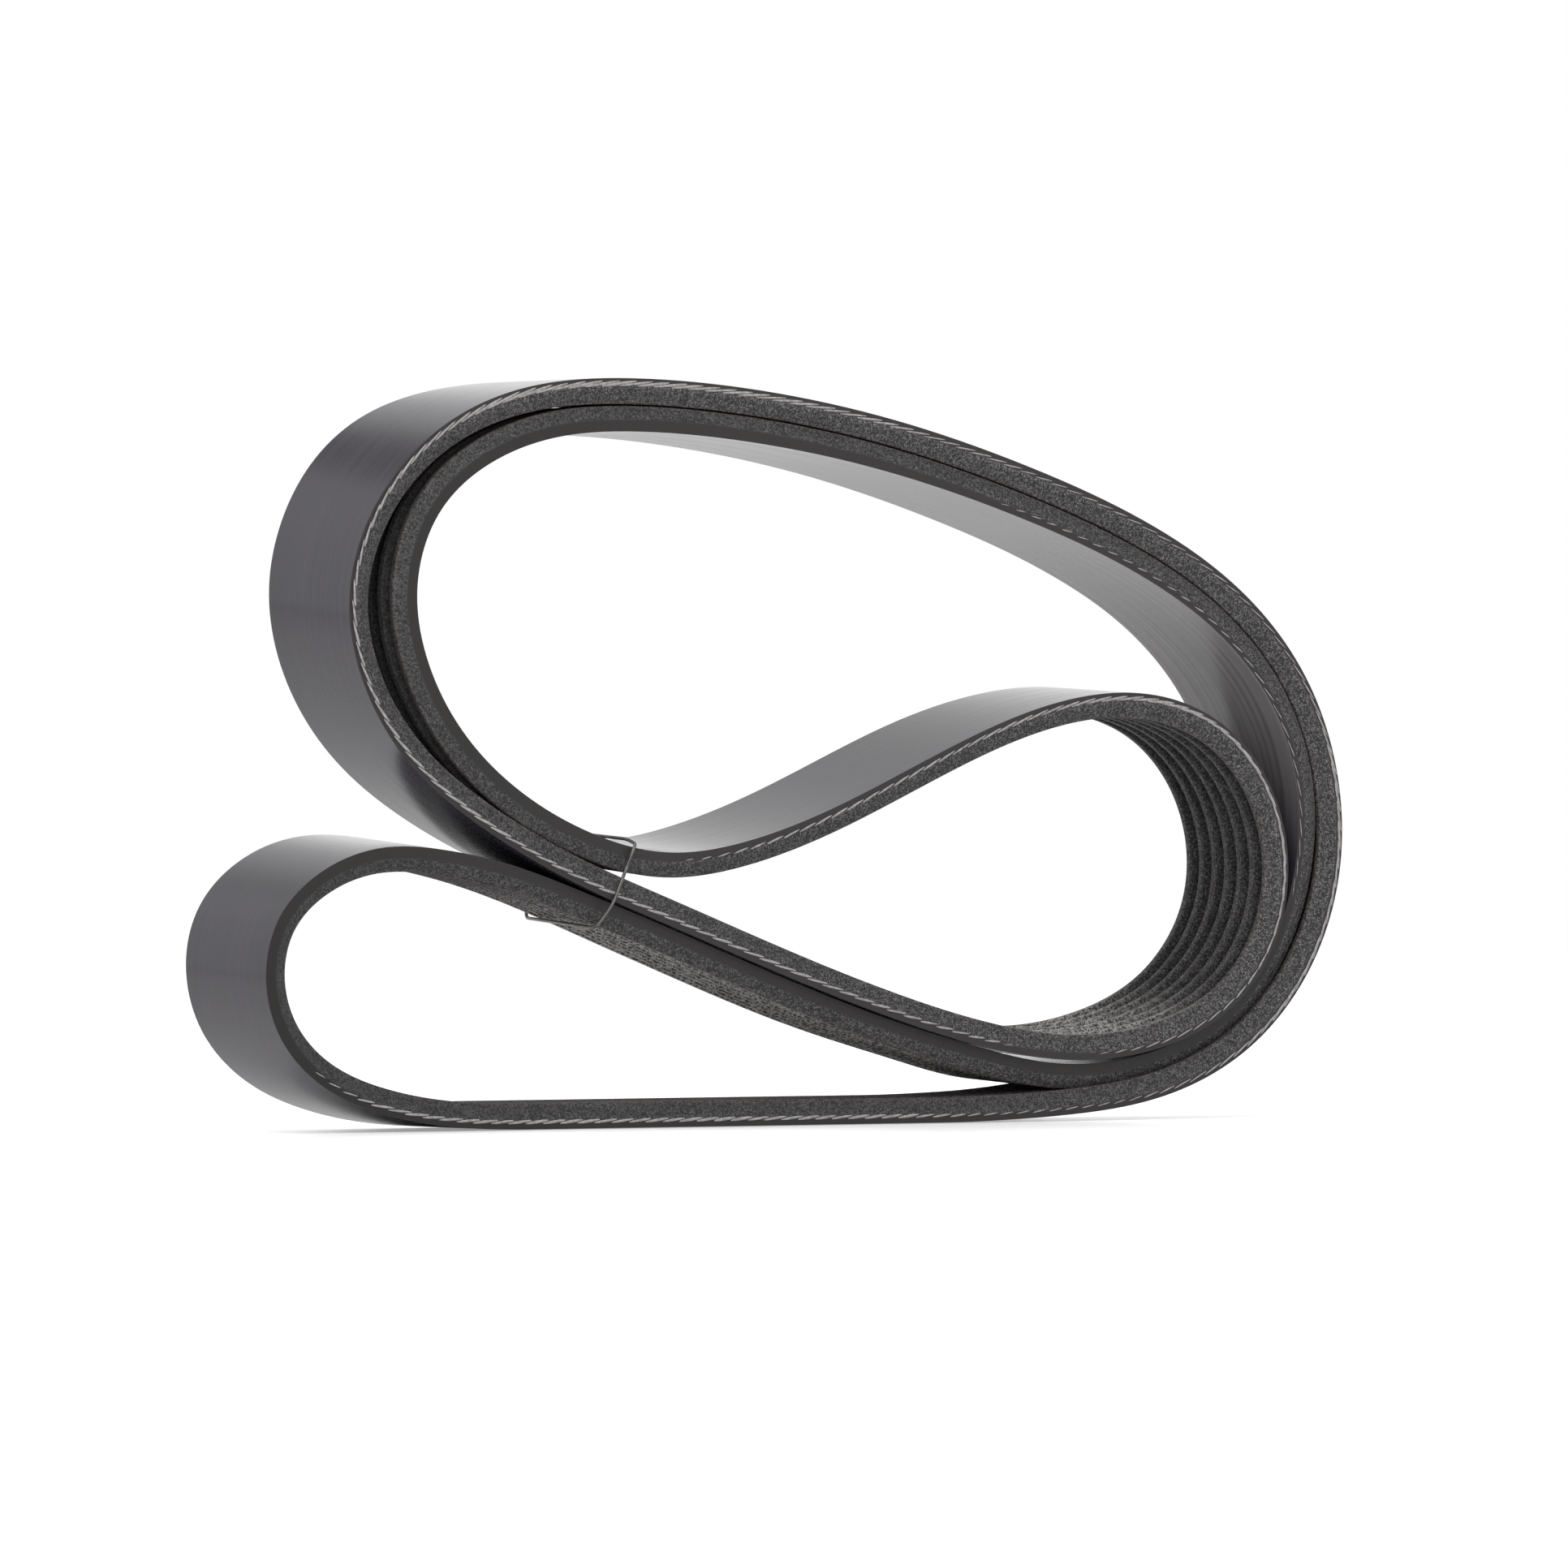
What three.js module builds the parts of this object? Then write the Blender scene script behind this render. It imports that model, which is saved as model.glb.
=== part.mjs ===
// Serpentine belt: one endless ribbed drive belt, folded flat to a double strand, coiled once and
// held by a wire tie. Millimetres, +Z up. It stands on its own floor run, width along Y, and the
// near side is the one at -Y. The origin lies on the underside of that run, midway across it.
import * as THREE from 'three'

// The coil as it stands
const COIL_LENGTH = 216 // end loop to right bend
const COIL_HEIGHT = 122.2 // floor to the top of the upper loop

// Belt section
const RIBS = 7
const PITCH = 3.56 // rib to rib
const WIDTH = 24.2 // between the two cut sides
const THICK = 4.2 // smooth back to rib tips
const RIB_HEIGHT = 2.3
const RIB_LAND = 1.1 // flat on top of a rib
const FLANK = Math.tan((20 * Math.PI) / 180) // each flank leans 20 degrees

// Packing of the plies
const TOUCH = 0.3 // clearance left where two plies, or the tie and a ply, rest on each other
const HALF_PITCH = PITCH / 2 // sidestep that lets the ribs of two plies drop into each other
const NEST = 1.1 // how deep they drop where the bend is tightest
const STATIONS = 178 // cross-sections round the belt

// Wire tie
const WIRE = 0.56 // wire diameter
const WIRE_SIDES = 8
const WIRE_LAP = 7 // length over which the two ends lie side by side on the far side

const RUBBER = new THREE.MeshStandardMaterial({ color: 0x3a393c, roughness: 0.75, metalness: 0 })
const STEEL = new THREE.MeshStandardMaterial({ color: 0x6d6a6a, roughness: 0.4, metalness: 1 })

// A place on the near edge of the smooth back: x and z, how far the strand is set back towards +Y
// and how much higher its far edge stands than its near edge.
const place = (x, z, back, lift) => new THREE.Vector4(x, z, back, lift)

// The route is drawn for a coil 216 long and 122.2 high with a belt 24.2 wide, and grows with them.
const LONG = COIL_LENGTH / 216
const TALL = COIL_HEIGHT / 122.2
const WIDE = WIDTH / 24.2
const at = (x, z, back = 0, lift = 0) => place(x * LONG, z * TALL, back * WIDE, lift * WIDE)

// Natural or closed cubic through anchors, spaced by the distance between them.
function spline(anchors, closed) {
  const p = closed ? [...anchors, anchors[0]] : anchors
  const n = p.length
  const s = [0]
  for (let i = 1; i < n; i++) {
    s.push(s[i - 1] + Math.hypot(p[i].x - p[i - 1].x, p[i].y - p[i - 1].y))
  }
  const h = (i) => s[i + 1] - s[i]
  const m = p.map(() => new THREE.Vector4(0, 0, 0, 0)) // second derivatives
  const slope = (i) => p[i + 1].clone().sub(p[i]).divideScalar(h(i))
  for (let sweep = 0; sweep < 60; sweep++) {
    for (let i = closed ? 0 : 1; i < n - 1; i++) {
      const a = i > 0 ? i - 1 : n - 2
      const bend = slope(i).sub(slope(a)).multiplyScalar(6)
      bend.addScaledVector(m[a], -h(a)).addScaledVector(m[i + 1], -h(i))
      m[i] = bend.divideScalar(2 * (h(a) + h(i)))
      if (closed && i === 0) m[n - 1] = m[0]
    }
  }
  const pick = (t) => {
    let i = 0
    while (i < n - 2 && t > s[i + 1]) i++
    return i
  }
  const point = (t) => {
    const i = pick(t)
    const b = (t - s[i]) / h(i)
    const a = 1 - b
    const k = (h(i) * h(i)) / 6
    return p[i].clone().multiplyScalar(a).addScaledVector(p[i + 1], b)
      .addScaledVector(m[i], (a * a * a - a) * k)
      .addScaledVector(m[i + 1], (b * b * b - b) * k)
  }
  const way = (t) => {
    const i = pick(t)
    const b = (t - s[i]) / h(i)
    const a = 1 - b
    return slope(i).addScaledVector(m[i], (-(3 * a * a - 1) * h(i)) / 6)
      .addScaledVector(m[i + 1], ((3 * b * b - 1) * h(i)) / 6)
  }
  const bend = (t) => {
    const i = pick(t)
    const b = (t - s[i]) / h(i)
    return m[i].clone().multiplyScalar(1 - b).addScaledVector(m[i + 1], b)
  }
  return { s, point, way, bend, length: s[n - 1] }
}

// Outer lap, from the floor run round the right bend, over the top and down the left to the tie
const outer = [
  at(-47, 0), at(-22, 0), at(6, 0), at(34, 0, 0, 0),
  at(57, 0.9, 0, 0.1), at(78, 3.9, 0, 1), at(96, 12, 0, 1.6),
  at(108.7, 25.3, 0, 1.4), at(114.8, 41.2, 0, 0.9), at(114.4, 58, 0, 0.4),
  at(108.2, 73.6), at(96.6, 86.8), at(77.4, 98.7), at(51.6, 108.5),
  at(21.5, 116.5), at(-8, 121), at(-31, 122.1, 0, 0.1), at(-51.5, 120, 0, 0.7),
  at(-68, 112.9, 0, 2.3), at(-79.9, 100.6, 0, 3.1), at(-84.8, 86, 0, 2.4),
  at(-82.2, 72.2, 0, 2), at(-73, 58.9, 0, 1.8), at(-59, 48.7, 0, 1.8),
  at(-42, 40.2, 0, 2.3),
]
const outerCurve = spline(outer, false)

// Moves sideways off anchor i of a curve by gap, towards the ribs when gap is positive. A strand
// that leans is followed square to its own back, so the move also brings it forward a little.
function beside(anchors, curve, i, gap, back = 0, lift = anchors[i].w) {
  const from = anchors[i]
  const d = curve.way(curve.s[i])
  const size = Math.hypot(d.x, d.y)
  const forward = (gap * d.x * from.w) / (size * WIDTH)
  return place(from.x - (gap * d.y) / size, from.y + (gap * d.x) / size, back - forward, lift)
}

// Plies stacked inside the right bend, outermost first: outer lap, inner lap, tied loop.
const inLap = (i, nest, back, lift = 0) =>
  beside(outer, outerCurve, i, 2 * THICK + TOUCH - nest * NEST, back * HALF_PITCH, lift * WIDE)
const inLoop = (i, nest, lift) =>
  beside(outer, outerCurve, i, 2 * (THICK + TOUCH) - nest * NEST, 0, lift * WIDE)

// Tied loop, from the tie down to the right bend, round and back up over the tie
const loop = [
  at(-24, 33.4, 0, 2.35), at(-2, 25.4, 0, 2.1), at(22, 17.4, 0, 1.9), at(41, 12.4, 0, 1.7),
  inLoop(4, -0.3, 1.3), inLoop(5, 0.8, 1.9), inLoop(6, 1, 2.3),
  at(101.6, 30.5, 0, 2.2), at(103.9, 43.5, 0, 1.4), at(100.4, 55.6, 0, 1.2),
  at(91, 65.8, 0, 1.2), at(76.5, 71.1, 0, 1.2), at(58, 70.3, 0, 1.4), at(37, 63.6, 0, 2.2),
  at(12, 52.9, 0, 2.4), at(-8, 46.5, 0, 2.2), at(-24, 44.9, 0, 2), at(-38, 48, 0, 2.3),
]
const loopCurve = spline(loop, false)

// Inner lap up the left, where it stands off the outer lap by a crescent, then inside it
const inner = [
  at(-50.5, 53.9, 0, 2.2), at(-62.5, 63.8, 0, 1.8), at(-69.4, 74.8, 0, 1.9),
  at(-71.8, 87, 0, 1.9), at(-67.6, 99.5, 0, 1.6), at(-57, 108.1, 0, 0.8),
  at(-43, 112.5, 0, 0.3),
  inLap(16, 0, 0, 0.1), inLap(15, 0, 0), inLap(14, 0, 0), inLap(13, 0, 0), inLap(12, 0, 0),
  inLap(11, 0, 0), inLap(10, 0, 0), inLap(9, 0, 0.15, 0.5), inLap(8, 0, 0.6, 1.1),
  inLap(7, 0.5, 0.95, 1.6), inLap(6, 1, 1, 1.9), inLap(5, 1, 1, 1.8), inLap(4, 0, 1, 1.2),
]

// Third strand, lying against the back of the tied loop on its way left
const under = [3, 2, 1, 0].map((i) =>
  beside(loop, loopCurve, i, -TOUCH, HALF_PITCH, loop[i].w),
)

// End loop at the left, back down to the floor run
const endLoop = [
  at(-41, 39.3, 1.7, 2.5), at(-52, 42.7, 1.6, 2.1), at(-65, 45.2, 1.4, 1.9),
  at(-78, 45.6, 1, 1.9), at(-90, 41.6, 0.7, 1.9), at(-98, 34.2, 0.4, 1.7),
  at(-100.5, 24.6, 0.2, 1.6), at(-97.9, 15.3, 0, 1.3), at(-90.3, 7.7, 0, 0.9),
  at(-78.5, 2.9, 0, 0.4), at(-64, 0.5, 0, 0.1),
]

const route = spline([...outer, ...loop, ...inner, ...under, ...endLoop], true)

// Where the belt is at t: near edge of the back, direction across, direction towards the ribs.
function frame(t) {
  const p = route.point(t)
  const d = route.way(t)
  const onFloor = p.y < 0.02 && Math.abs(p.x) < 60 * LONG
  const lift = onFloor ? 0 : Math.max(p.w, 0)
  const across = new THREE.Vector3(0, Math.sqrt(WIDTH * WIDTH - lift * lift), lift).normalize()
  const along = new THREE.Vector3(d.x, d.z, onFloor ? 0 : d.y).normalize()
  const ribward = along.clone().cross(across).normalize()
  const near = new THREE.Vector3(p.x, p.z - WIDTH / 2, onFloor ? 0 : p.y)
  return { near, across, ribward }
}

// Closed outline of the section, as distance across and height above the smooth back.
function section() {
  const outline = [[0, 0], [WIDTH, 0]]
  const first = (WIDTH - (RIBS - 1) * PITCH) / 2
  const foot = RIB_LAND / 2 + RIB_HEIGHT * FLANK
  const side = THICK - (first - RIB_LAND / 2) / FLANK // where an outermost flank meets the side
  const root = THICK - RIB_HEIGHT
  outline.push([WIDTH, Math.max(side, root)])
  for (let i = RIBS - 1; i >= 0; i--) {
    const middle = first + i * PITCH
    outline.push([middle + RIB_LAND / 2, THICK])
    outline.push([middle - RIB_LAND / 2, THICK])
    if (i > 0) {
      outline.push([middle - foot, root])
      outline.push([middle - PITCH + foot, root])
    }
  }
  outline.push([0, Math.max(side, root)])
  return outline
}

// Cross-sections stand closer together where the belt bends more.
function stations(count) {
  const fine = 6000
  const total = [0]
  for (let i = 0; i < fine; i++) {
    const t = ((i + 0.5) * route.length) / fine
    const d = route.way(t)
    const c = route.bend(t)
    const bend = Math.abs(d.x * c.y - d.y * c.x) / Math.hypot(d.x, d.y) ** 3
    total.push(total[i] + Math.sqrt(bend + 0.002))
  }
  const out = []
  let j = 0
  for (let i = 0; i < count; i++) {
    const want = (i * total[fine]) / count
    while (total[j + 1] < want) j++
    out.push(((j + (want - total[j]) / (total[j + 1] - total[j])) * route.length) / fine)
  }
  return out
}

function solid(vertices, triangles) {
  const g = new THREE.BufferGeometry()
  g.setAttribute('position', new THREE.Float32BufferAttribute(vertices, 3))
  g.setIndex(triangles)
  g.computeVertexNormals()
  return g
}

function belt() {
  const outline = section()
  const n = outline.length
  const places = stations(STATIONS)
  const vertices = []
  const triangles = []
  for (const t of places) {
    const f = frame(t)
    for (const [across, height] of outline) {
      const v = f.near.clone().addScaledVector(f.across, across)
      v.addScaledVector(f.ribward, height)
      vertices.push(v.x, v.y, v.z)
    }
  }
  for (let i = 0; i < places.length; i++) {
    const k = (i + 1) % places.length
    for (let j = 0; j < n; j++) {
      const l = (j + 1) % n
      triangles.push(i * n + j, i * n + l, k * n + l)
      triangles.push(i * n + j, k * n + l, k * n + j)
    }
  }
  return solid(vertices, triangles)
}

// Wire path through corners that are each rounded off over r wire diameters.
function rounded(corners) {
  const points = [corners[0].at]
  for (let i = 1; i < corners.length - 1; i++) {
    const here = corners[i].at
    const a = corners[i - 1].at.clone().sub(here)
    const b = corners[i + 1].at.clone().sub(here)
    const reach = Math.min(corners[i].r * WIRE, a.length() * 0.45, b.length() * 0.45)
    const p = here.clone().addScaledVector(a.normalize(), reach)
    const q = here.clone().addScaledVector(b.normalize(), reach)
    points.push(...new THREE.QuadraticBezierCurve3(p, here, q).getPoints(5))
  }
  points.push(corners[corners.length - 1].at)
  return points
}

function tube(points, radius, sides) {
  const vertices = []
  const triangles = []
  const last = points.length - 1
  let normal = null
  points.forEach((p, i) => {
    const a = points[Math.max(i - 1, 0)]
    const b = points[Math.min(i + 1, last)]
    const along = b.clone().sub(a).normalize()
    if (!normal) normal = new THREE.Vector3(1, 0, 0)
    normal.addScaledVector(along, -normal.dot(along)).normalize()
    const side = along.clone().cross(normal)
    for (let j = 0; j < sides; j++) {
      const turn = (2 * Math.PI * j) / sides
      const v = p.clone().addScaledVector(normal, radius * Math.cos(turn))
      v.addScaledVector(side, radius * Math.sin(turn))
      vertices.push(v.x, v.y, v.z)
    }
  })
  for (let i = 0; i < last; i++) {
    for (let j = 0; j < sides; j++) {
      const l = (j + 1) % sides
      triangles.push(i * sides + j, i * sides + l, (i + 1) * sides + l)
      triangles.push(i * sides + j, (i + 1) * sides + l, (i + 1) * sides + j)
    }
  }
  for (const [ring, flip] of [[0, true], [last, false]]) {
    const centre = vertices.length / 3
    vertices.push(points[ring].x, points[ring].y, points[ring].z)
    for (let j = 0; j < sides; j++) {
      const a = ring * sides + j
      const b = ring * sides + ((j + 1) % sides)
      triangles.push(centre, flip ? b : a, flip ? a : b)
    }
  }
  return solid(vertices, triangles)
}

// Where a strand between two anchors of the route crosses x.
function crossing(first, last, x) {
  let low = route.s[first]
  let high = route.s[last]
  const rising = route.point(high).x > route.point(low).x
  for (let i = 0; i < 40; i++) {
    const t = (low + high) / 2
    if (route.point(t).x < x === rising) low = t
    else high = t
  }
  return frame(low)
}

// Bent round three strands just right of where the loop closes; its ends lie lapped at the back.
// Each corner is set off the strand that it bends over.
function wireTie() {
  const off = WIRE / 2 + TOUCH
  const rib = THICK + off
  const overLoop = outer.length + loop.length - 4
  const underLoop = outer.length + loop.length + inner.length + 3
  const on = (strand, across, height) =>
    strand.near.clone().addScaledVector(strand.across, across)
      .addScaledVector(strand.ribward, height)
  const top = crossing(overLoop, overLoop + 3, -30 * LONG)
  const middle = crossing(outer.length - 1, outer.length, -34 * LONG)
  const low = crossing(underLoop, underLoop + 2, -34.6 * LONG)
  const lowFar = crossing(underLoop, underLoop + 2, -31.4 * LONG)
  const lapFoot = on(crossing(underLoop, underLoop + 2, -32.4 * LONG), WIDTH + off, 0)
  const topFar = on(top, WIDTH + off, -off)
  const down = topFar.clone().sub(lapFoot).normalize()
  const aside = new THREE.Vector3(-WIRE - TOUCH, 0, 0)
  const corners = [
    { at: lapFoot.clone().addScaledVector(down, WIRE_LAP).add(aside) },
    { at: lapFoot.clone().add(aside), r: 2.7 },
    { at: on(lowFar, WIDTH + off, rib), r: 1.8 },
    { at: on(low, WIDTH * 0.35, rib + TOUCH), r: 11 },
    { at: on(low, -off, rib), r: 2.5 },
    { at: on(middle, -off, -off), r: 2.7 },
    { at: on(top, -off, -off), r: 0.9 },
    { at: on(top, WIDTH * 0.09, -2 * off), r: 2.9 },
    { at: topFar, r: 0.9 },
    { at: lapFoot },
  ]
  return tube(rounded(corners), WIRE / 2, WIRE_SIDES)
}

const group = new THREE.Group()
group.name = 'serpentine_belt'
const add = (name, geometry, material) => {
  const mesh = new THREE.Mesh(geometry, material)
  mesh.name = name
  group.add(mesh)
}
add('belt', belt(), RUBBER)
add('wire_tie', wireTie(), STEEL)
export default group
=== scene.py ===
import math
import random

import bmesh
import bpy
import numpy as np
from mathutils import Matrix, Vector


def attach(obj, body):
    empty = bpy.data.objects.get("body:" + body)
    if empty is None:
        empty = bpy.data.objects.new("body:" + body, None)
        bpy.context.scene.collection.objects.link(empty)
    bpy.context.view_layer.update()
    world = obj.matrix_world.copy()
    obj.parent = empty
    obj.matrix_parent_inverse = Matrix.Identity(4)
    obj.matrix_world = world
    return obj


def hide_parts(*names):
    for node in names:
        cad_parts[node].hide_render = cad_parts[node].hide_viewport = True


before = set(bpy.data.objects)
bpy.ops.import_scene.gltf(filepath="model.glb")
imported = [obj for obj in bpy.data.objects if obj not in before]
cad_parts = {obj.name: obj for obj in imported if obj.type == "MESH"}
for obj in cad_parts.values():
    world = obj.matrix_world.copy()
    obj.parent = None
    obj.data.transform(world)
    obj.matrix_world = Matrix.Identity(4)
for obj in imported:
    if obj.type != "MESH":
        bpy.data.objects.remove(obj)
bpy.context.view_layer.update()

# Camera. A long lens at the belt's own height, standing well to the left of the cut sides, so
# that the smooth back shows on the left bends and the ribs show inside the right one.
camera = bpy.data.cameras.new("camera")
camera.sensor_width = 36
camera.lens = 279.5
camera.clip_end = 60
view = bpy.data.objects.new("camera", camera)
view.location = (-1.1414, -1.6544, 0.04753)
view.rotation_euler = (math.radians(90.2445), 0, math.radians(-34.8))
bpy.context.scene.collection.objects.link(view)
bpy.context.scene.camera = view
bpy.context.scene.view_settings.view_transform = "Standard"

# Floor and studio. A plain pale sheet that runs out of sight, two large soft lamps and a white
# backdrop, brightest in its middle, that ends a little above the belt under a dim ceiling. The
# sheet is seen almost edge on, so it is lit and coloured to run into the backdrop.
FLOOR_REACH = 2.2
FLOOR_DROP = 0.0001
ROOM_LIGHT = 0.66
# how far up a direction points, and how bright the wall or the ceiling is there
WALL_TO_CEILING = ((0, 1.0), (0.5, 0.98), (0.6, 0.88), (0.65, 0.1), (1, 0.15))
BACKDROP_WAY = (0.57, 0.81, 0.1)


class Nodes:
    """Short ways to write a node tree. Each one adds a node, most of them give its first output."""

    def __init__(self, tree):
        self.tree = tree
        tree.nodes.clear()

    def feed(self, node, **sockets):
        """Set or join sockets, by name or, after an underscore, by number."""
        for key, value in sockets.items():
            number = key[1:]
            socket = node.inputs[int(number) if number.isdigit() else key.replace("_", " ")]
            if isinstance(value, bpy.types.NodeSocket):
                self.tree.links.new(value, socket)
            else:
                socket.default_value = value

    def add(self, kind, settings=None, **sockets):
        node = self.tree.nodes.new("ShaderNode" + kind)
        for key, value in (settings or {}).items():
            setattr(node, key, value)
        self.feed(node, **sockets)
        return node

    def math(self, operation, *values):
        values = {f"_{i}": value for i, value in enumerate(values)}
        return self.add("Math", {"operation": operation}, **values).outputs[0]

    def span(self, value, start, end, low=0.0, high=1.0):
        """The value carried from start..end to low..high, and held beyond them."""
        return self.add("MapRange", _0=value, _1=start, _2=end, _3=low, _4=high).outputs[0]

    def noise(self, place, scale, detail, roughness):
        texture = self.add("TexNoise", Vector=place, Scale=scale, Detail=detail, Roughness=roughness)
        return texture.outputs[0]

    def attribute(self, name):
        return self.add("Attribute", {"attribute_name": name}).outputs["Fac"]

    def mix(self, share, first, second):
        return self.add("MixRGB", Fac=share, Color1=first, Color2=second).outputs[0]

    def bump(self, height, strength, distance, **normal):
        return self.add("Bump", Height=height, Strength=strength, Distance=distance, **normal).outputs[0]

    def ramp(self, value, stops):
        node = self.add("ValToRGB", Fac=value)
        bar = node.color_ramp.elements
        while len(bar) < len(stops):
            bar.new(0.5)
        for element, (place, colour) in zip(bar, stops):
            element.position = place
            element.color = (*colour, 1)
        return node.outputs["Color"]


world = bpy.data.worlds.new("studio")
bpy.context.scene.world = world
world.use_nodes = True
nodes = Nodes(world.node_tree)
ray = nodes.add("LightPath").outputs
around = nodes.add("TexCoord").outputs["Generated"]
upward = nodes.add("SeparateXYZ", _0=around).outputs["Z"]
wall = nodes.ramp(upward, [(height, (grey, grey, grey)) for height, grey in WALL_TO_CEILING])
towards = nodes.add("VectorMath", {"operation": "DOT_PRODUCT"}, _0=around, _1=BACKDROP_WAY)
brighter = nodes.add("MapRange", {"interpolation_type": "SMOOTHSTEP"},
                     _0=towards.outputs["Value"], _1=0.90, _2=0.995, _3=0.95, _4=1.2)
mirrored = nodes.add("Background", Color=wall, Strength=brighter.outputs[0])
plain = nodes.add("Background", Color=(1, 0.985, 0.98, 1), Strength=ROOM_LIGHT)
backdrop = nodes.add("Background", Color=(1, 1, 1, 1), Strength=1)
bounced = nodes.add("MixShader", _0=ray["Is Glossy Ray"], _1=plain.outputs[0], _2=mirrored.outputs[0])
direct = nodes.math("MAXIMUM", ray["Is Camera Ray"], ray["Is Transmission Ray"])
studio = nodes.add("MixShader", _0=direct, _1=bounced.outputs[0], _2=backdrop.outputs[0])
nodes.add("OutputWorld", Surface=studio.outputs[0])


def new_material(name):
    """A material, the short ways to write its nodes, and its shader."""
    made = bpy.data.materials.new(name)
    made.use_nodes = True
    nodes = Nodes(made.node_tree)
    shader = nodes.add("BsdfPrincipled")
    nodes.add("OutputMaterial", Surface=shader.outputs["BSDF"])
    return made, nodes, shader


pale, nodes, shader = new_material("pale_floor")
nodes.feed(shader, Base_Color=(0.86, 0.86, 0.87, 1), Roughness=0.3, Specular_IOR_Level=0.35)
glow = nodes.add("Emission", Color=(1, 1, 1, 1), Strength=0.3)
glowing = nodes.add("AddShader", _0=shader.outputs[0], _1=glow.outputs[0])
seen = nodes.add("LightPath").outputs["Is Camera Ray"]
either = nodes.add("MixShader", _0=seen, _1=shader.outputs[0], _2=glowing.outputs[0])
nodes.feed(shader.outputs[0].links[0].to_node, Surface=either.outputs[0])


def new_piece(name, made, *materials):
    """The object of a finished shape, at the origin, with its materials."""
    mesh = bpy.data.meshes.new(name)
    made.to_mesh(mesh)
    made.free()
    for material in materials:
        mesh.materials.append(material)
    piece = bpy.data.objects.new(name, mesh)
    bpy.context.scene.collection.objects.link(piece)
    return piece


sheet = bmesh.new()
bmesh.ops.create_grid(sheet, x_segments=8, y_segments=8, size=FLOOR_REACH)
floor = new_piece("floor", sheet, pale)
floor.location = (0, 0, -FLOOR_DROP)

for name, place, aim, size, watts in (
    ("overhead", (-0.25, -0.15, 1.1), (0, 0, 0.05), 1.1, 8),
    ("front_left", (-1.3, -1.1, 0.75), (0, 0, 0.06), 0.9, 9),
):
    lamp = bpy.data.lights.new(name, "AREA")
    lamp.size = size
    lamp.energy = watts
    stand = bpy.data.objects.new(name, lamp)
    stand.location = place
    stand.rotation_euler = (Vector(aim) - Vector(place)).to_track_quat("-Z", "Y").to_euler()
    bpy.context.scene.collection.objects.link(stand)

# Belt. One endless belt of vulcanised rubber: a smooth back, a tension cord wound inside, and
# V-ribs moulded on the inside of the loop. The route is the one that the strands take in the
# coil: near edge of the back as x, z, set back towards the far side, rise of the far edge.
MM = 0.001
RIBS = 7
PITCH = 3.56  # rib to rib
WIDTH = 24.2  # between the two cut sides
THICK = 4.2  # smooth back to rib tips
RIB_HEIGHT = 2.3
RIB_LAND = 1.1  # flat on top of a rib
FLANK = math.tan(math.radians(20))
MOULDED_ROUND = 0.22
CUT_ROUND = 0.05
TOUCH = 0.3  # clearance where a strand or the tie rests on a strand
PRESSED = 0.02  # how far the two strands below the tie press into each other, back to back
HALF_PITCH = PITCH / 2  # sidestep that lets the ribs of two strands drop into each other
NEST = 1.1  # how deep they drop where the bend is tightest
FLAT_RUN = 60  # the floor run lies flat this far to both sides
FLAT_RISE = 0.02  # and a strand no higher than this is on the floor
STATIONS = 660
BACK_EDGE = 0.3  # faces no higher than this belong to the smooth back
CREASE = math.radians(14)  # a bend along the belt that stays sharp


class Strand:
    """A smooth cubic run through anchors, spaced by the distance between them."""

    def __init__(self, anchors, closed):
        p = np.array(list(anchors) + (list(anchors[:1]) if closed else []), float)
        n = len(p)
        step = np.hypot(*np.diff(p[:, :2], axis=0).T)
        slope = np.diff(p, axis=0) / step[:, None]
        rows, ends = np.eye(n), np.zeros((n, 4))
        for i in range(0 if closed else 1, n - 1):
            a = i - 1 if i else n - 2
            rows[i] = 0
            rows[i, a] += step[a]
            rows[i, i] += 2 * (step[a] + step[i])
            rows[i, i + 1] += step[i]
            ends[i] = 6 * (slope[i] - slope[a])
        if closed:
            rows[n - 1, 0] = -1
        self.p, self.h, self.slope = p, step, slope
        self.m = np.linalg.solve(rows, ends)
        self.s = np.r_[0, np.cumsum(step)]
        self.length = self.s[-1]

    def place(self, t):
        """Point, direction and second derivative at t."""
        i = int(np.clip(np.searchsorted(self.s, t) - 1, 0, len(self.h) - 1))
        h, b = self.h[i], (t - self.s[i]) / self.h[i]
        a = 1 - b
        m, k = self.m[i], self.m[i + 1]
        point = self.p[i] * a + self.p[i + 1] * b + ((a**3 - a) * m + (b**3 - b) * k) * h * h / 6
        way = self.slope[i] + (-(3 * a * a - 1) * m + (3 * b * b - 1) * k) * h / 6
        return point, way, m * a + k * b


def at(x, z, back=0, lift=0):
    return x, z, back, lift


outer = [
    at(-47, 0), at(-22, 0), at(6, 0), at(34, 0, 0, 0),
    at(57, 0.9, 0, 0.1), at(78, 3.9, 0, 1), at(96, 12, 0, 1.6),
    at(108.7, 25.3, 0, 1.4), at(114.8, 41.2, 0, 0.9), at(114.4, 58, 0, 0.4),
    at(108.2, 73.6), at(96.6, 86.8), at(77.4, 98.7), at(51.6, 108.5),
    at(21.5, 116.5), at(-8, 121), at(-31, 122.1, 0, 0.1), at(-51.5, 120, 0, 0.7),
    at(-68, 112.9, 0, 2.3), at(-79.9, 100.6, 0, 3.1), at(-84.8, 86, 0, 2.4),
    at(-82.2, 72.2, 0, 2), at(-73, 58.9, 0, 1.8), at(-59, 48.7, 0, 1.8),
    at(-42, 40.2, 0, 2.3),
]
outer_run = Strand(outer, False)


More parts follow.
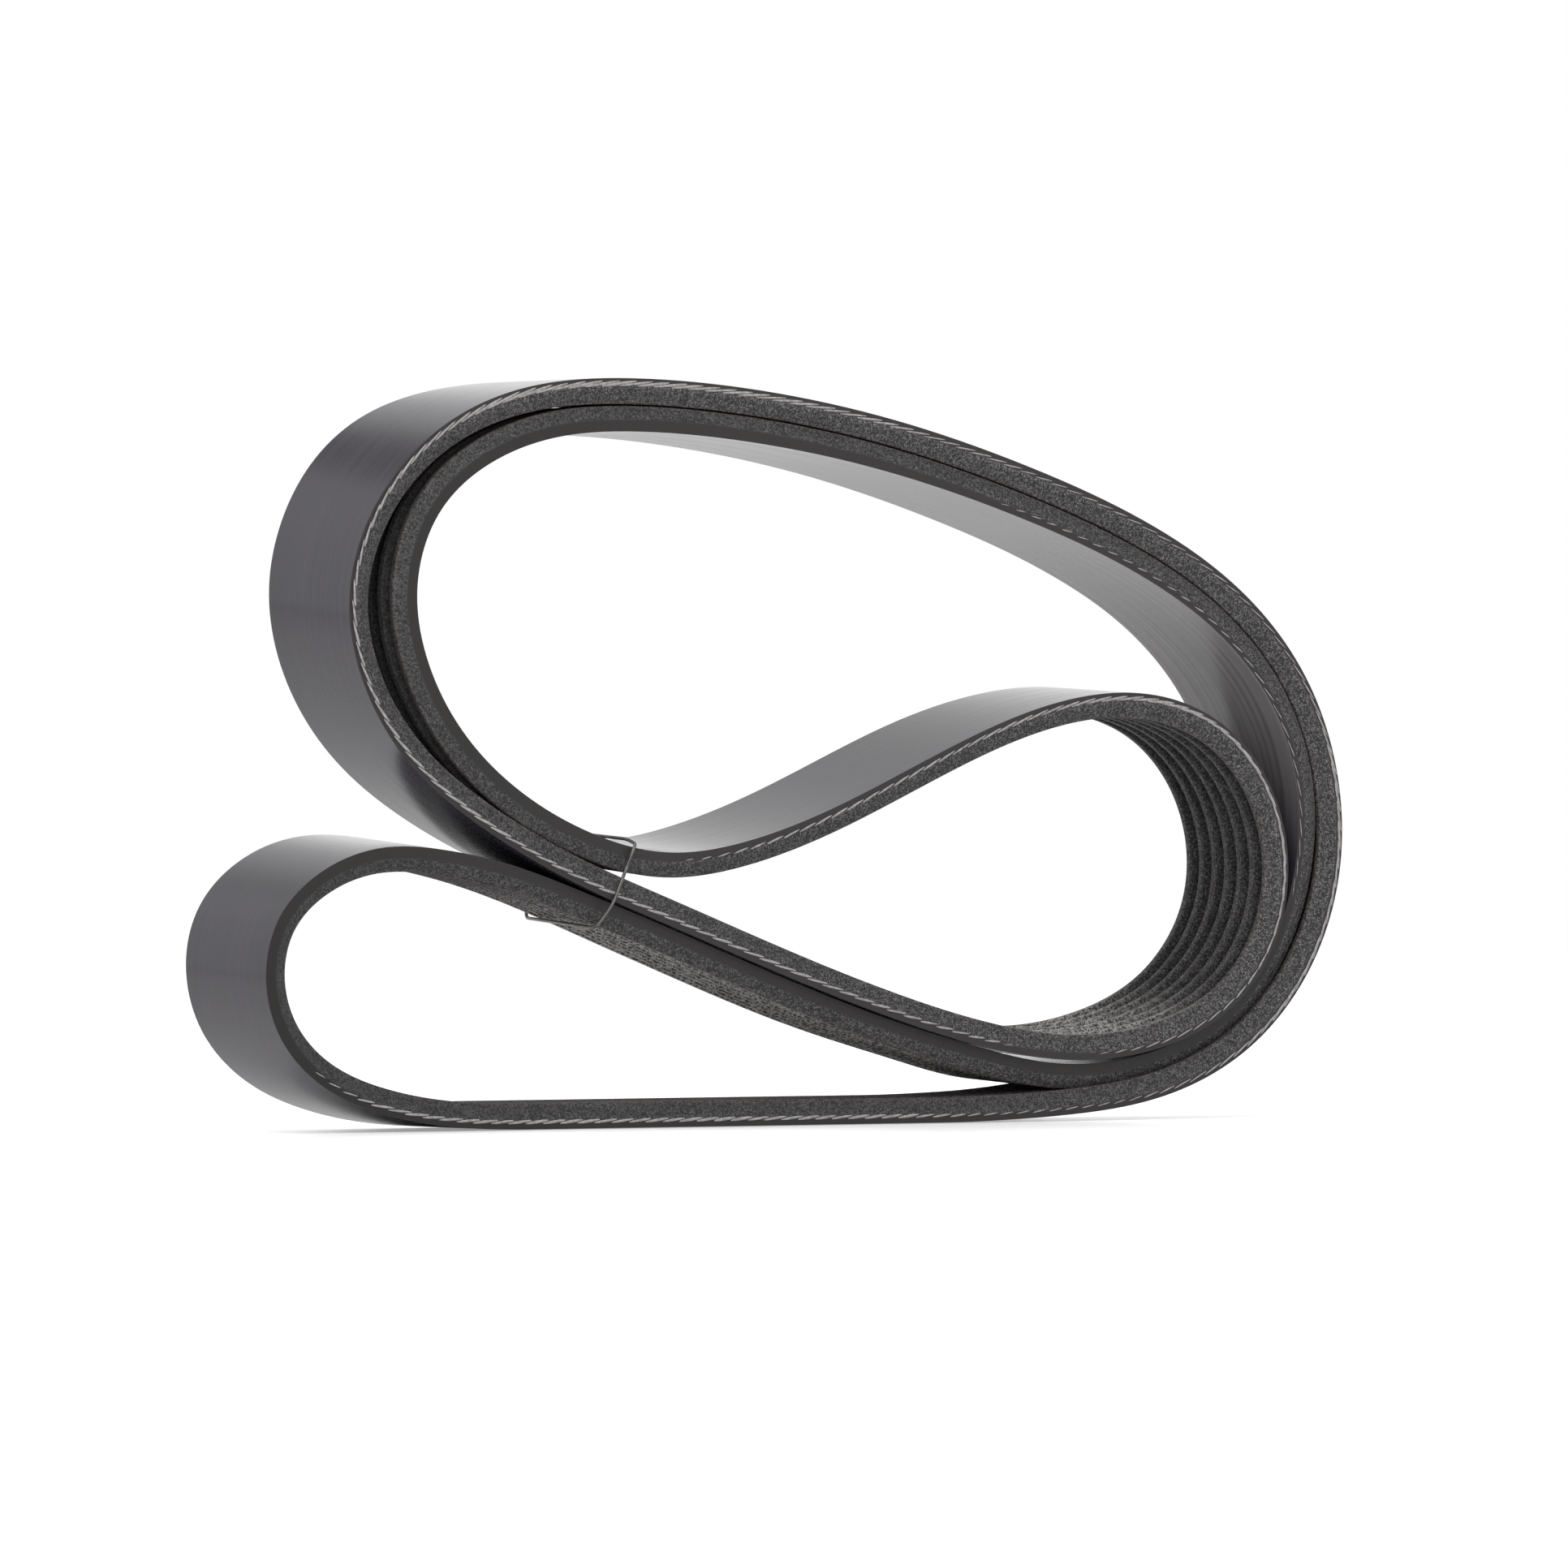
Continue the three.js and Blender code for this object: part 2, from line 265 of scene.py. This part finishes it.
def beside(anchors, run, i, gap, back=0, lift=None):
    """Anchor i moved square off the strand's back by gap, towards the ribs when positive."""
    x, z, _, rise = anchors[i]
    way = run.place(run.s[i])[1]
    size = math.hypot(way[0], way[1])
    forward = gap * way[0] * rise / (size * WIDTH)
    return at(x - gap * way[1] / size, z + gap * way[0] / size, back - forward,
              rise if lift is None else lift)


def in_lap(i, nest, back, lift=None):
    """Inside anchor i of the outer run, rib to rib with it."""
    return beside(outer, outer_run, i, 2 * THICK + TOUCH - nest * NEST, back * HALF_PITCH, lift)


def in_loop(i, nest, lift):
    """Inside anchor i of the outer run, with the lap between them."""
    return beside(outer, outer_run, i, 2 * (THICK + TOUCH) - nest * NEST, 0, lift)


loop = [
    at(-24, 33.4, 0, 2.35), at(-2, 25.4, 0, 2.1), at(22, 17.4, 0, 1.9), at(41, 12.4, 0, 1.7),
    in_loop(4, -0.3, 1.3), in_loop(5, 0.8, 1.9), in_loop(6, 1, 2.3),
    at(101.6, 30.5, 0, 2.2), at(103.9, 43.5, 0, 1.4), at(100.4, 55.6, 0, 1.2),
    at(91, 65.8, 0, 1.2), at(76.5, 71.1, 0, 1.2), at(58, 70.3, 0, 1.4), at(37, 63.6, 0, 2.2),
    at(12, 52.9, 0, 2.4), at(-8, 46.5, 0, 2.2), at(-24, 44.9, 0, 2), at(-38, 48, 0, 2.3),
]
loop_run = Strand(loop, False)
inner = [
    at(-50.5, 53.9, 0, 2.2), at(-62.5, 63.8, 0, 1.8), at(-69.4, 74.8, 0, 1.9),
    at(-71.8, 87, 0, 1.9), at(-67.6, 99.5, 0, 1.6), at(-57, 108.1, 0, 0.8),
    at(-43, 112.5, 0, 0.3),
    *[in_lap(i, 0, 0) for i in (16, 15, 14, 13, 12, 11, 10)],
    in_lap(9, 0, 0.15, 0.5), in_lap(8, 0, 0.6, 1.1), in_lap(7, 0.5, 0.95, 1.6),
    in_lap(6, 1, 1, 1.9), in_lap(5, 1, 1, 1.8), in_lap(4, 0, 1, 1.2),
]
under = [beside(loop, loop_run, i, -PRESSED, HALF_PITCH) for i in (3, 2, 1, 0)]
end_loop = [
    at(-41, 39.3, 1.7, 2.5), at(-52, 42.7, 1.6, 2.1), at(-65, 45.2, 1.4, 1.9),
    at(-78, 45.6, 1, 1.9), at(-90, 41.6, 0.7, 1.9), at(-98, 34.2, 0.4, 1.7),
    at(-100.5, 24.6, 0.2, 1.6), at(-97.9, 15.3, 0, 1.3), at(-90.3, 7.7, 0, 0.9),
    at(-78.5, 2.9, 0, 0.4), at(-64, 0.5, 0, 0.1),
]
route = Strand([*outer, *loop, *inner, *under, *end_loop], True)
LOOP_START = len(outer)
INNER_START = LOOP_START + len(loop)
UNDER_START = INNER_START + len(inner)
END_START = UNDER_START + len(under)


def station(t):
    """The belt's own axes at t, in metres: along, across, towards the ribs, and the near edge."""
    point, way, _ = route.place(t % route.length)
    on_floor = point[1] < FLAT_RISE and abs(point[0]) < FLAT_RUN
    lift = 0 if on_floor else max(point[3], 0)
    across = Vector((0, math.sqrt(WIDTH**2 - lift**2), lift)).normalized()
    along = Vector((way[0], way[2], 0 if on_floor else way[1])).normalized()
    ribward = along.cross(across).normalized()
    along = across.cross(ribward)
    near = Vector((point[0], point[2] - WIDTH / 2, 0 if on_floor else point[1])) * MM
    axes = Matrix((along, across, ribward)).transposed().to_4x4()
    axes.translation = near
    return axes


def spaced(count, tries=4000, least_bend=0.002):
    """Stations closer together where the belt bends more."""
    ts = (np.arange(tries) + 0.5) * route.length / tries
    bends = []
    for t in ts:
        _, d, c = route.place(t)
        bend = abs(d[0] * c[1] - d[1] * c[0]) / math.hypot(d[0], d[1]) ** 3
        bends.append(math.sqrt(bend + least_bend))
    total = np.r_[0, np.cumsum(bends)]
    ends = np.r_[0, ts + route.length / (2 * tries)]
    return np.interp(np.arange(count + 1) * total[-1] / count, total, ends)


def table_at(t, table):
    """What a table says at t along the route. Its rows start with the number of an anchor."""
    anchor = np.interp(t, route.s, np.arange(len(route.s)))
    anchors, *columns = zip(*table)
    return [float(np.interp(anchor, anchors, column)) for column in columns]


def section():
    """The section as across and height, the moulded corners rounder than the knife-cut ones."""
    first = (WIDTH - (RIBS - 1) * PITCH) / 2
    root = THICK - RIB_HEIGHT
    foot = RIB_LAND / 2 + RIB_HEIGHT * FLANK
    side = max(THICK - (first - RIB_LAND / 2) / FLANK, root)
    line = [(0, 0), (WIDTH, 0), (WIDTH, side)]
    for i in range(RIBS - 1, -1, -1):
        middle = first + i * PITCH
        line += [(middle + RIB_LAND / 2, THICK), (middle - RIB_LAND / 2, THICK)]
        if i:
            line += [(middle - foot, root), (middle - PITCH + foot, root)]
    line.append((0, side))
    flat = bmesh.new()
    corners = [flat.verts.new((y * MM, z * MM, 0)) for y, z in line]
    flat.faces.new(corners)
    knife_cut = [corners[i] for i in (0, 1, 2, -1)]
    for edges, offset in ((corners[3:-1], MOULDED_ROUND), (knife_cut, CUT_ROUND)):
        bmesh.ops.bevel(flat, geom=edges, offset=offset * MM, offset_type="OFFSET", segments=2,
                        profile=0.5, affect="VERTICES", material=-1)
    flat.faces.ensure_lookup_table()
    outline = [v.co.xy.copy() for v in flat.faces[0].verts]
    flat.free()
    return outline


# By anchor: the height of the smooth layer on the cut sides, how strong the pale painted highlight
# on the ribs is, and how thick the torn fibres stand, which also sets how dark the smooth layer is
# painted as shade.
BARE = ((40, 1.2), (42, 1.9), (51, 1.9), (53, 1.2), (58, 1.2), (60, 1.9), (74, 1.9), (76, 1.2))
PAINTED_HIGHLIGHT = ((28, 0), (28.8, 0.7), (29.8, 0.7), (31, 0), (61, 0), (63, 0.75), (66, 0.75), (68.5, 0))
FIBRES_AND_SHADE = (
    (3, 0.4), (6, 0.8), (12, 0.9), (17, 0.8), (20, 0.5), (25, 0.5), (28, 0.8), (31, 1),
    (38, 0.8), (44, 0.4), (49, 0.4), (60, 0.8), (64, 0.8), (68, 0.5), (74, 0.15), (77, 0.3),
)
outline = section()
outline.append(outline[0])
belt = bmesh.new()
bmesh.ops.create_grid(belt, x_segments=STATIONS, y_segments=len(outline) - 1, size=1)
layers = [belt.verts.layers.float.new(name)
          for name in ("along", "across", "height", "bare", "painted_highlight", "fibres_and_shade")]
run, wide, high = layers[:3]
rows = sorted(belt.verts, key=lambda v: (round(v.co.x, 5), v.co.y))
for i, t in enumerate(spaced(STATIONS)):
    here = station(t)
    (smooth_layer,), (highlight_mask,), (fibres,) = (table_at(t, table) for table in (BARE, PAINTED_HIGHLIGHT, FIBRES_AND_SHADE))
    for v, (across, height) in zip(rows[i * len(outline):(i + 1) * len(outline)], outline):
        v.co = here @ Vector((0, across, height))
        for layer, value in zip(layers, (t * MM, across, height, smooth_layer * MM, highlight_mask, fibres)):
            v[layer] = value
lay = belt.loops.layers.uv.new("lay")
for face in belt.faces:
    for corner in face.loops:
        corner[lay].uv = (corner.vert[run], corner.vert[wide])
    face.material_index = 0 if max(v[high] for v in face.verts) < BACK_EDGE * MM else 1
    face.smooth = True
bmesh.ops.remove_doubles(belt, verts=belt.verts[:], dist=0.002 * MM)
bmesh.ops.recalc_face_normals(belt, faces=belt.faces[:])
for edge in belt.edges:
    edge.smooth = edge.calc_face_angle(0) < CREASE

# The back is calendered smooth: satin, cool grey, with fine streaks along the run. Inside the upper
# loop a pale band of painted light lies on it, which the streaks break up.
skin, nodes, shader = new_material("smooth_back")
lay_map = nodes.add("UVMap", {"uv_map": "lay"}).outputs[0]
own = nodes.add("TexCoord").outputs["Object"]
streak = nodes.noise(nodes.add("Mapping", Vector=lay_map, Scale=(16, 900, 1)).outputs[0], 1.0, 4.0, 0.6)
cloud = nodes.noise(nodes.add("Mapping", Vector=lay_map, Scale=(9, 60, 1)).outputs[0], 1.0, 3.0, 0.55)
uneven = nodes.math("MULTIPLY_ADD", streak, 0.6, nodes.math("MULTIPLY", cloud, 0.4))
tint = nodes.ramp(uneven, [
    (0.3, (0.032, 0.029, 0.036)),
    (0.5, (0.038, 0.035, 0.043)),
    (0.72, (0.047, 0.043, 0.053)),
])
# The pale band of painted light: it rises from anchor 52 to 55 and is gone again from 56 to 58.
along = nodes.attribute("along")
painted_light_in = nodes.span(along, route.s[52] * MM, route.s[55] * MM)
painted_light_out = nodes.span(along, route.s[58] * MM, route.s[56] * MM)
painted_light = nodes.math("MULTIPLY", painted_light_in, painted_light_out)
streaked_painted_light = nodes.math("MULTIPLY", painted_light, nodes.span(streak, 0.3, 0.7, 0.45, 1.0))
grain = nodes.bump(nodes.noise(own, 3800.0, 2.0, 0.6), 0.10, 0.00003)
nodes.feed(
    shader,
    Base_Color=nodes.mix(streaked_painted_light, tint, (0.26, 0.251, 0.247, 1)),
    Roughness=nodes.ramp(streak, [(0.3, (0.13, 0.13, 0.13)), (0.7, (0.21, 0.21, 0.21))]),
    Specular_IOR_Level=0.5,
    Normal=nodes.bump(streak, 0.15, 0.00005, Normal=grain),
)

# The cut sides and the ribs: dull dark rubber full of short light fibres, which catch the light
# where they are seen flat. The smooth layer outside them has none and is painted darker as shade at
# some bends, the tips of the ribs are rubbed a little brown, a warm fringe of light is painted on the
# far rim, and painted shade darkens the grooves and the ribs between the cut sides. Below the tie and
# at the bottom of the inner loop the ribs carry a pale painted highlight.
cut, nodes, shader = new_material("rib_rubber")
own = nodes.add("TexCoord").outputs["Object"]
shifted = nodes.add("Mapping", Vector=own, Location=(0.3, 0.7, 0.1)).outputs[0]
level = nodes.attribute("height")
across = nodes.attribute("across")
fibres_and_shade = nodes.attribute("fibres_and_shade")
# Where on the section: past the smooth layer, between the cut sides, where the pale painted
# highlight lies, and down in a groove, where painted shade goes.
in_fibres = nodes.span(nodes.math("SUBTRACT", level, nodes.attribute("bare")), -0.1 * MM, 0.3 * MM)
off_middle = nodes.math("ABSOLUTE", nodes.math("SUBTRACT", across, WIDTH / 2 * MM))
inside = nodes.span(off_middle, (WIDTH / 2 - 0.9) * MM, (WIDTH / 2 - 1.4) * MM)
highlight_mask = nodes.math("MULTIPLY", inside, nodes.attribute("painted_highlight"))
groove = nodes.span(level, (THICK - 0.15) * MM, (THICK - 1.15) * MM)
painted_groove_shade = nodes.math("MULTIPLY", nodes.math("MULTIPLY", inside, groove), 0.5)
# Rubber, its smooth layer painted darker as shade where the per-anchor fibre table is low, rubbed
# brown on the tips, and a warm fringe of light painted on the far rim.
broad = nodes.noise(own, 160.0, 3.0, 0.5)
body_tint = nodes.ramp(broad, [(0.3, (0.028, 0.027, 0.028)), (0.7, (0.041, 0.039, 0.040))])
# The smooth layer's colour, painted darker as shade where the per-anchor fibre table is low.
layer_tint_and_shade = nodes.ramp(fibres_and_shade, [(0.2, (0.012, 0.011, 0.010)), (0.6, (0.028, 0.026, 0.025))])
rubber = nodes.mix(in_fibres, layer_tint_and_shade, body_tint)
tip = nodes.span(level, (THICK - 0.6) * MM, THICK * MM, 0, nodes.span(inside, 0, 1, 0.6, 0.3))
painted_rim_light = nodes.span(across, (WIDTH - 1.6) * MM, (WIDTH - 0.6) * MM, 0, 0.9)
browned_and_rim_lit = nodes.mix(nodes.math("MAXIMUM", tip, painted_rim_light), rubber, (0.078, 0.062, 0.050, 1))
highlight_base = nodes.mix(highlight_mask, browned_and_rim_lit, (0.065, 0.063, 0.062, 1))
# Fibres lie in thin curls, paler under the painted highlight; the pits between them are black.
from_curl = nodes.math("ABSOLUTE", nodes.math("SUBTRACT", nodes.noise(own, 2150.0, 2.0, 0.6), 0.5))
flank = nodes.span(level, 1.7 * MM, 2.6 * MM, 1.0, 0.78)
frayed = nodes.math("MAXIMUM", nodes.math("MULTIPLY", fibres_and_shade, flank), highlight_mask)
fibre = nodes.span(from_curl, 0.045, 0.012, 0, frayed)
fibre_tint = nodes.mix(highlight_mask, (0.30, 0.29, 0.296, 1), (0.46, 0.45, 0.44, 1))
with_fibres = nodes.mix(nodes.math("MULTIPLY", fibre, in_fibres), highlight_base, fibre_tint)
pit = nodes.ramp(nodes.noise(shifted, 2300.0, 2.0, 0.7), [(0.43, (1, 1, 1)), (0.50, (0, 0, 0))])
pitting = nodes.math("MULTIPLY", nodes.math("MULTIPLY", pit, in_fibres), 0.85)
pitted = nodes.mix(pitting, with_fibres, (0.008, 0.008, 0.009, 1))
# A pale painted highlight in grains on the ribs that carry it; painted shade in the grooves of all
# ribs and, less under the highlight, over the ribs between the cut sides.
highlight_grain = nodes.ramp(nodes.noise(shifted, 1900.0, 3.0, 0.75), [(0.47, (0, 0, 0)), (0.56, (1, 1, 1))])
with_highlight = nodes.mix(nodes.math("MULTIPLY", highlight_mask, highlight_grain), pitted, (0.66, 0.64, 0.62, 1))
shaded = nodes.span(nodes.math("SUBTRACT", inside, highlight_mask), 0, 1, 0, 0.38)
painted_shade = nodes.math("MAXIMUM", painted_groove_shade, shaded)
open_part = nodes.math("SUBTRACT", 1.0, painted_groove_shade)
fibre_sheen = nodes.math("MULTIPLY", nodes.span(fibre, 0, 1, 0.1, 0.8), nodes.span(inside, 0, 1, 1.0, 0.3))
relief = nodes.math("MULTIPLY", nodes.math("SUBTRACT", fibre, pit), in_fibres)
nodes.feed(
    shader,
    Base_Color=nodes.mix(painted_shade, with_highlight, (0.004, 0.004, 0.004, 1)),
    Roughness=nodes.span(fibre, 0, 1, 0.65, 0.45),
    Specular_IOR_Level=nodes.math("MULTIPLY", open_part, 0.45),
    Sheen_Weight=nodes.math("MULTIPLY", fibre_sheen, open_part),
    Sheen_Roughness=0.3,
    Sheen_Tint=(1, 0.96, 0.93, 1),
    Normal=nodes.bump(relief, 0.5, 0.00008),
)
belt_piece = new_piece("ribbed_belt", belt, skin, cut)
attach(belt_piece, "root")
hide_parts("belt")

# Tension cord. Twisted polyester cord, wound inside the belt and sliced open by the cut sides, so
# that each twist shows as a slanted light lens. Where the knife missed it, it fades out.
CORD_PITCH = 3.35
CORD_SLANT = math.radians(-7)
CORD_HALF = 0.11  # half the lens's size across the belt
CORD_INSET = 0.03  # how far the lens's middle lies inside the cut side
LEAST_SHOWN = 0.1
FAR_SIDE_SHIFT = 310  # the far knife met the cord elsewhere on the belt
# anchor, height of the lens, its length as a share of the pitch, depth below the back
CORD_SHOWN = (
    (0, 0.50, 1.5, 1.2), (2.6, 0.48, 1.4, 1.2), (3.2, 0.24, 0.9, 1.15), (4.6, 0.18, 0.8, 1.0),
    (5.5, 0.34, 1.5, 0.8), (6.5, 0.55, 2.1, 0.6), (9, 0.45, 2.0, 0.55), (10.5, 0.22, 1.1, 0.8),
    (13, 0.22, 1.1, 1.0), (14.5, 0.38, 1.9, 0.95), (16, 0.48, 2.2, 0.9), (18, 0.48, 2.3, 1.05),
    (21, 0.48, 2.2, 1.15), (24, 0.46, 1.7, 1.25), (26.5, 0.44, 1.6, 1.25), (28.1, 0.38, 1.0, 1.25),
    (28.35, 0.05, 0.6, 1.2), (29.3, 0.05, 0.7, 1.1), (29.7, 0.26, 0.9, 1.0), (31, 0.32, 1.4, 0.8),
    (33, 0.55, 2.3, 0.7), (35, 0.50, 2.1, 0.85), (38, 0.38, 1.6, 1.15), (39.6, 0.38, 1.3, 1.25),
    (40.6, 0.18, 0.5, 1.25), (41, 0, 0.4, 1.2), (52.6, 0, 0.4, 1.1), (53, 0.20, 0.7, 1.1),
    (54.5, 0.22, 0.7, 1.0), (56, 0.20, 1.0, 0.5), (57.5, 0.18, 1.1, 0.45), (58.5, 0.1, 1.0, 0.5),
    (61, 0, 0.4, 1.1), (74.4, 0, 0.4, 1.3), (74.9, 0.18, 0.7, 1.3), (75.8, 0.34, 1.1, 1.15),
    (76, 0.40, 1.5, 1.15), (77, 0.46, 1.5, 1.2), (78, 0.50, 1.5, 1.2),
)

lens = bmesh.new()
bmesh.ops.create_uvsphere(lens, u_segments=10, v_segments=6, radius=1,
                          matrix=Matrix.Rotation(math.radians(90), 4, "Y"))
lens_mesh = bpy.data.meshes.new("cord_lens")
lens.to_mesh(lens_mesh)
lens.free()
cord = bmesh.new()
random.seed(7)
count = int(route.length / CORD_PITCH)
for side, turn, shift in ((0, 1, 0), (WIDTH, -1, FAR_SIDE_SHIFT)):
    for i in range(count):
        t = (i + 0.5) * route.length / count
        tall, share, depth = table_at((t + shift) % route.length, CORD_SHOWN)
        tall *= random.uniform(0.85, 1.12)
        if tall < LEAST_SHOWN:
            continue
        size = share * CORD_PITCH * random.uniform(0.94, 1.04)
        shape = Matrix.Diagonal((size * 0.5 * MM, CORD_HALF * MM, tall * 0.5 * MM, 1))
        slant = Matrix.Rotation(CORD_SLANT * turn, 4, "Y")
        inset = Matrix.Translation((0, (side + CORD_INSET * turn) * MM, depth * MM))
        first = len(cord.verts)
        cord.from_mesh(lens_mesh)
        cord.verts.ensure_lookup_table()
        set_in = station(t) @ inset @ slant @ shape
        for k in range(first, len(cord.verts)):
            cord.verts[k].co = set_in @ cord.verts[k].co
bpy.data.meshes.remove(lens_mesh)
bmesh.ops.recalc_face_normals(cord, faces=cord.faces[:])
for face in cord.faces:
    face.smooth = True

yarn, nodes, shader = new_material("cord_yarn")
twist = nodes.noise(nodes.add("TexCoord").outputs["Object"], 1500.0, 3.0, 0.6)
nodes.feed(
    shader,
    Base_Color=nodes.ramp(twist, [(0.3, (0.22, 0.214, 0.212)), (0.65, (0.42, 0.41, 0.405))]),
    Roughness=0.75,
    Normal=nodes.bump(twist, 0.4, 0.00006),
)
cord_piece = new_piece("tension_cord", cord, yarn)
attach(cord_piece, "root")

# Wire tie. One length of thin drawn wire bent round three strands where the loop closes, pulled
# tight, with its two ends lapped side by side on the far side.
WIRE = 0.56
WIRE_LAP = 7
WIRE_SIDES = 14


def crossing(first, last, x):
    """The station where a strand between two anchors of the route crosses x."""
    ts = np.linspace(route.s[first], route.s[last], 800)
    return station(min(ts, key=lambda t: abs(route.place(t)[0][0] - x)))


def on(strand, across, height):
    return strand @ Vector((0, across * MM, height * MM))


def rounded(corners):
    """A path through corners, each rounded over its own reach, which is given in wire widths."""
    path = [corners[0][0]]
    for (before, _), (corner, reach), (after, _) in zip(corners, corners[1:], corners[2:]):
        a, b = before - corner, after - corner
        reach = min(reach * WIRE * MM, a.length * 0.45, b.length * 0.45)
        p, q = corner + a.normalized() * reach, corner + b.normalized() * reach
        path += [p * (1 - k) ** 2 + corner * 2 * k * (1 - k) + q * k * k for k in np.linspace(0, 1, 9)]
    path.append(corners[-1][0])
    return path


off = WIRE / 2 + TOUCH
rib = THICK + off
top = crossing(INNER_START - 4, INNER_START - 1, -30)
middle = crossing(LOOP_START - 1, LOOP_START, -34)
low = crossing(END_START - 1, END_START + 1, -34.6)
low_far = crossing(END_START - 1, END_START + 1, -31.4)
lap_foot = on(crossing(END_START - 1, END_START + 1, -32.4), WIDTH + off, 0)
top_far = on(top, WIDTH + off, -off)
aside = Vector(((-WIRE - TOUCH) * MM, 0, 0))
wire_path = rounded([
    (lap_foot + (top_far - lap_foot).normalized() * WIRE_LAP * MM + aside, 0),
    (lap_foot + aside, 2.7),
    (on(low_far, WIDTH + off, rib), 1.8),
    (on(low, WIDTH * 0.35, rib + TOUCH), 11),
    (on(low, -off, rib), 2.5),
    (on(middle, -off, -off), 2.7),
    (on(top, -off, -off), 0.9),
    (on(top, WIDTH * 0.09, -2 * off), 2.9),
    (top_far, 0.9),
    (lap_foot, 0),
])
wire = bmesh.new()
rings = []
facing = Vector((1, 0, 0))
for i, p in enumerate(wire_path):
    ahead = (wire_path[min(i + 1, len(wire_path) - 1)] - wire_path[max(i - 1, 0)]).normalized()
    facing = (facing - ahead * facing.dot(ahead)).normalized()
    turn = Matrix((facing, ahead.cross(facing), ahead)).transposed().to_4x4()
    turn.translation = p
    circle = bmesh.ops.create_circle(wire, segments=WIRE_SIDES, radius=WIRE / 2 * MM, matrix=turn)
    rings.append({e for v in circle["verts"] for e in v.link_edges})
for a, b in zip(rings, rings[1:]):
    bmesh.ops.bridge_loops(wire, edges=list(a | b))
for end in (rings[0], rings[-1]):
    bmesh.ops.edgeloop_fill(wire, edges=list(end))
bmesh.ops.recalc_face_normals(wire, faces=wire.faces[:])
for face in wire.faces:
    face.smooth = True

steel, nodes, shader = new_material("dark_wire")
wear = nodes.noise(nodes.add("TexCoord").outputs["Object"], 420.0, 3.0, 0.6)
nodes.feed(
    shader,
    Base_Color=nodes.ramp(wear, [(0.35, (0.10, 0.092, 0.090)), (0.7, (0.22, 0.205, 0.20))]),
    Roughness=nodes.ramp(wear, [(0.3, (0.28, 0.28, 0.28)), (0.7, (0.45, 0.45, 0.45))]),
    Metallic=0.85,
)
wire_piece = new_piece("bent_wire_tie", wire, steel)
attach(wire_piece, "root")
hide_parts("wire_tie")
